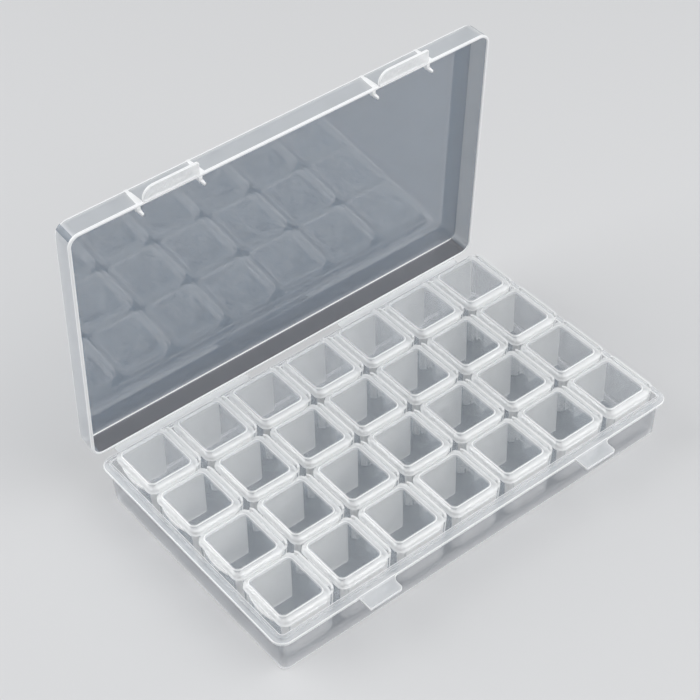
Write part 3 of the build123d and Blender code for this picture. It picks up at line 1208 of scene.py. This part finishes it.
@dataclass
class HingeFilms:
    """The bending films of the lid and of the cell lids, in millimetres."""

    box: BoxSizes
    steps: int = 8  # straight runs across a film
    thickness: float = 0.4  # of a lid film
    sag: float = 0.35
    tray_overlap: float = 0.1  # how far it reaches into the flange's edge
    tray_drop: float = 0.4  # below the flange's top
    lid_overlap: float = 0.15  # past the room that the frame gives it
    lid_drop: float = 0.12
    cell_thickness: float = 0.25
    cell_reach: float = 0.5  # to each side of the joint
    cell_half_length: float = 8.5

    def film(
        self, name: str, section: Sequence[Point], low: float, high: float, place: Place
    ) -> bpy.types.Object:
        """Build one thin film.

        Args:
            name: The object's name.
            section: Its outline across its length.
            low: Where it starts along its length.
            high: Where it ends along its length.
            place: Where a point of the section, with its place along the length, goes.

        Returns:
            The film's object.
        """
        shell = Moulding(Plastic.FILM)
        rings = [[place(Vector((u, v, level))) for u, v in section] for level in (low, high)]
        shell.skin(rings, [Plastic.FILM, Plastic.FILM])
        return shell.write(name)

    def lid_film(self, side: str) -> bpy.types.Object:
        """Build one of the two films between the tray's flange and the lid's rim.

        Args:
            side: Which one, left or right.

        Returns:
            The film's object.
        """
        low, high = (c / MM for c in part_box(f"{side}_hinge_film"))
        flange, back = self.box.flange_height, self.box.depth / 2
        start = Vector((back - self.tray_overlap, flange - self.tray_drop))
        end = Vector((high.y + self.lid_overlap, high.z - self.lid_drop))
        upper, lower = [], []
        for i in range(self.steps + 1):
            t = i / self.steps
            point = start.lerp(end, t)
            sag = self.sag * math.sin(math.pi * t)
            upper.append((point.x, point.y - sag))
            lower.append((point.x, point.y - sag - self.thickness))
        section = [*upper, *reversed(lower)]
        piece = self.film(f"{side}_film", section, low.x, high.x, along_x)
        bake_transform(piece)
        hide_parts(f"{side}_hinge_film")
        return piece

    def cell_film(self, strip: int, row: int) -> bpy.types.Object:
        """Build the film of one cell lid.

        Args:
            strip: Which strip, from 1 at the left.
            row: Which cell of the strip, from 1 at the front.

        Returns:
            The film's object.
        """
        hinge = joint_place(f"cell_lid_{strip}_{row}_hinge")
        half = self.cell_reach
        steps = [-half + 2 * half * i / self.steps for i in range(self.steps + 1)]
        upper = [(hinge.x + s, hinge.z - APART) for s in steps]
        lower = [(hinge.x + s, hinge.z - APART - self.cell_thickness) for s in steps]
        low, high = hinge.y - self.cell_half_length, hinge.y + self.cell_half_length
        section = [*upper, *reversed(lower)]
        piece = self.film(f"cell_film_{strip}_{row}", section, low, high, along_y)
        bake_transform(piece)
        return piece


@dataclass(frozen=True)
class Lamp:
    """A square soft lamp: its place and its side in metres, and its power in watts."""

    name: str
    place: tuple[float, float, float]
    size: float
    power: float

    def hang(self, aim: Vector) -> None:
        """Hang the lamp.

        Args:
            aim: The point that it faces.
        """
        data = bpy.data.lights.new(self.name, "AREA")
        data.size = self.size
        data.energy = self.power
        lamp = bpy.data.objects.new(self.name, data)
        lamp.location = self.place
        lamp.rotation_euler = (aim - Vector(self.place)).to_track_quat("-Z", "Y").to_euler()
        bpy.context.scene.collection.objects.link(lamp)


@dataclass
class Studio:
    """The pale floor, the soft lamps and the camera at the photograph's angle, in metres."""

    floor_size: float = 6.0
    floor_level: float = -0.0002
    floor_colour: tuple[float, float, float] = (0.68, 0.68, 0.685)
    floor_roughness: float = 0.8
    sky_colour: tuple[float, float, float] = (0.94, 0.97, 1.0)
    sky_strength: float = 0.34
    aim: tuple[float, float, float] = (0.0, 0.02, 0.03)
    lamps: tuple[Lamp, ...] = (
        Lamp("front_right_lamp", (0.607, -0.694, 1.03), 1.35, 14.5),
        Lamp("back_left_lamp", (-0.80, 0.78, 0.75), 1.15, 10.5),
    )
    focal_length: float = 96.87  # of the camera and its sensor, in millimetres
    sensor_width: float = 36.0
    camera_place: tuple[float, float, float] = (-0.29165, -0.36045, 0.49564)
    forward: tuple[float, float, float] = (0.44158, 0.57658, -0.68743)
    right: tuple[float, float, float] = (0.78068, -0.62454, -0.02235)
    clear_layers: int = 40  # how many see-through faces one look may pass

    def floor(self) -> None:
        """Lay the plain pale floor."""
        data = bpy.data.meshes.new("studio_floor")
        half, level = self.floor_size / 2, self.floor_level
        spots = [(x * half, y * half, level) for x, y in ((-1, -1), (1, -1), (1, 1), (-1, 1))]
        data.from_pydata(spots, [], [(0, 1, 2, 3)])
        material = bpy.data.materials.new("studio_floor")
        material.use_nodes = True
        shader = material.node_tree.nodes["Principled BSDF"]
        shader.inputs["Base Color"].default_value = (*self.floor_colour, 1.0)
        shader.inputs["Roughness"].default_value = self.floor_roughness
        data.materials.append(material)
        piece = bpy.data.objects.new("studio_floor", data)
        bpy.context.scene.collection.objects.link(piece)

    def lights(self) -> None:
        """Set the world's even light and hang the lamps."""
        world = bpy.data.worlds.new("studio_world")
        world.use_nodes = True
        sky = world.node_tree.nodes["Background"]
        sky.inputs["Color"].default_value = (*self.sky_colour, 1.0)
        sky.inputs["Strength"].default_value = self.sky_strength
        bpy.context.scene.world = world
        for lamp in self.lamps:
            lamp.hang(Vector(self.aim))

    def camera(self) -> None:
        """Stand the camera where the photograph was taken from."""
        data = bpy.data.cameras.new("photo_camera")
        data.lens = self.focal_length
        data.sensor_width = self.sensor_width
        camera = bpy.data.objects.new("photo_camera", data)
        forward = Vector(self.forward).normalized()
        right = Vector(self.right).normalized()
        up = right.cross(forward).normalized()
        turn = Matrix((right, up, -forward)).transposed().to_4x4()
        camera.matrix_world = Matrix.Translation(self.camera_place) @ turn
        bpy.context.scene.collection.objects.link(camera)
        bpy.context.scene.camera = camera

    def view(self) -> None:
        """Keep the colours plain, and let a look pass through all the clear layers."""
        bpy.context.scene.view_settings.view_transform = "Standard"
        bpy.context.scene.cycles.transparent_max_bounces = self.clear_layers

    def build(self) -> None:
        """Set up the whole studio."""
        self.floor()
        self.lights()
        self.camera()
        self.view()


def main() -> None:
    """Build the box and its studio."""
    logging.basicConfig(level=logging.INFO, format="%(name)s: %(message)s")
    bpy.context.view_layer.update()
    box = BoxSizes()
    log.info("built %s", Tray(box).build().name)
    log.info("built %s", Lid(box).build().name)
    strip_maker, lid_maker, film_maker = Strip(box), CellLid(box), HingeFilms(box)
    for side in ("left", "right"):
        log.info("built %s", film_maker.lid_film(side).name)
    for strip in range(1, box.strips + 1):
        log.info("built %s", strip_maker.build(strip).name)
        films = []
        for row in range(1, box.rows + 1):
            log.info("built %s", lid_maker.build(strip, row).name)
            films.append(film_maker.cell_film(strip, row))
            log.info("built %s", films[-1].name)
        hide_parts(f"strip_{strip}_hinge_films")
    Studio().build()


if __name__ == "__main__":
    main()
